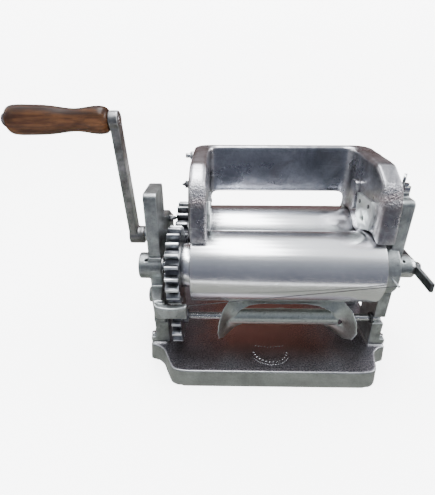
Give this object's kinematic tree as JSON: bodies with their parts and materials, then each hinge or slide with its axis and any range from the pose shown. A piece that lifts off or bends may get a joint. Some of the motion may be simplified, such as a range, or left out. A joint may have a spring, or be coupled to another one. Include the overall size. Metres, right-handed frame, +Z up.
{
  "type": "hand-cranked roller press for dough",
  "caption": "Hand-cranked cast-aluminium dough press: two geared rollers under a feed hopper, a rotary round cutter and peeling wire below, a thickness lever and a wooden crank grip.",
  "frame": {"origin": "centre of the base's flat underside", "axes": "+X along the rollers away from the crank, -Y towards the delivery side, +Z up"},
  "size_m": [0.4165, 0.179, 0.266],
  "materials": {
    "cast_aluminium": "satin cast",
    "polished_aluminium": "polished",
    "turned_aluminium": "satin turned",
    "gear_steel": "machined",
    "bright_steel": "bright",
    "dark_steel": "blackened",
    "bronze": "bearing bronze",
    "grip_wood": "varnished",
    "black_plastic": "gloss"
  },
  "bodies": {
    "frame": {"base_casting": "cast_aluminium", "left_frame": "cast_aluminium", "right_frame": "cast_aluminium", "foot_screws": "bright_steel", "left_bush": "bronze", "right_bush": "bronze", "rear_stay": "bright_steel", "keeper_screw": "bright_steel", "keeper_nut": "bright_steel", "eye_nut": "bright_steel", "hopper": "polished_aluminium", "left_cheek": "polished_aluminium", "right_cheek": "polished_aluminium", "cheek_screws": "dark_steel", "hopper_bracket": "polished_aluminium", "left_strap": "cast_aluminium", "right_strap": "cast_aluminium", "strap_screws": "bright_steel", "hopper_stud": "bright_steel", "hopper_nut": "bright_steel", "hopper_bolt": "dark_steel", "peeling_wire": "bright_steel", "wire_post": "bright_steel", "wire_clip": "bright_steel"},
    "adjuster": {"front_axle": "bright_steel", "thickness_lever": "dark_steel", "lever_screw": "bright_steel"},
    "carriage": {"thrust_washer": "bronze"},
    "front_roller_group": {"front_roller": "turned_aluminium", "front_roller_left_end": "turned_aluminium", "front_roller_right_end": "turned_aluminium", "front_spacer": "turned_aluminium", "front_gear": "gear_steel", "front_gear_bolts": "bright_steel"},
    "crank_train": {"rear_roller": "turned_aluminium", "rear_roller_left_end": "turned_aluminium", "rear_roller_right_end": "turned_aluminium", "rear_spacer": "turned_aluminium", "rear_gear": "gear_steel", "rear_gear_bolts": "bright_steel", "rear_shaft": "bright_steel", "crank_arm": "cast_aluminium", "grip_spindle": "bright_steel", "grip_button": "black_plastic"},
    "grip": {"wooden_grip": "grip_wood"},
    "cutter_train": {"cutter_shaft": "bright_steel", "cutter_gear": "gear_steel", "retaining_ring": "dark_steel", "cutter": "cast_aluminium"},
    "lock_screw": {"eye_screw": "bright_steel"}
  },
  "joints": [
    {"name": "crank_spin", "type": "hinge", "parent": "frame", "child": "crank_train", "pos_m": [0, 0.03675, 0.117], "axis": [1, 0, 0], "continuous": true},
    {"name": "thickness_lever", "type": "hinge", "parent": "frame", "child": "adjuster", "pos_m": [0.1, -0.03695, 0.11657], "axis": [1, 0, 0], "range_deg": [0, 50.2]},
    {"name": "gap_slide", "type": "slide", "parent": "frame", "child": "carriage", "axis": [0, -1, 0], "range_m": [0, 0.0003972]},
    {"name": "front_roller_spin", "type": "hinge", "parent": "carriage", "child": "front_roller_group", "pos_m": [0, -0.03675, 0.117], "axis": [1, 0, 0], "continuous": true},
    {"name": "cutter_spin", "type": "hinge", "parent": "frame", "child": "cutter_train", "pos_m": [0, -0.04133, 0.05592], "axis": [1, 0, 0], "continuous": true},
    {"name": "grip_spin", "type": "hinge", "parent": "crank_train", "child": "grip", "pos_m": [-0.212, 0.01301, 0.25162], "axis": [1, 0, 0], "continuous": true},
    {"name": "lock_screw_turn", "type": "hinge", "parent": "frame", "child": "lock_screw", "pos_m": [0.1195, -0.02875, 0.19], "axis": [0, 0, 1], "range_deg": [0, 180]}
  ],
  "couplings": [
    {"joint": "front_roller_spin", "follows": "crank_spin", "ratio": -1},
    {"joint": "cutter_spin", "follows": "crank_spin", "ratio": 1.5},
    {"joint": "thickness_lever", "follows": "gap_slide", "rad_per_m": 2197}
  ]
}
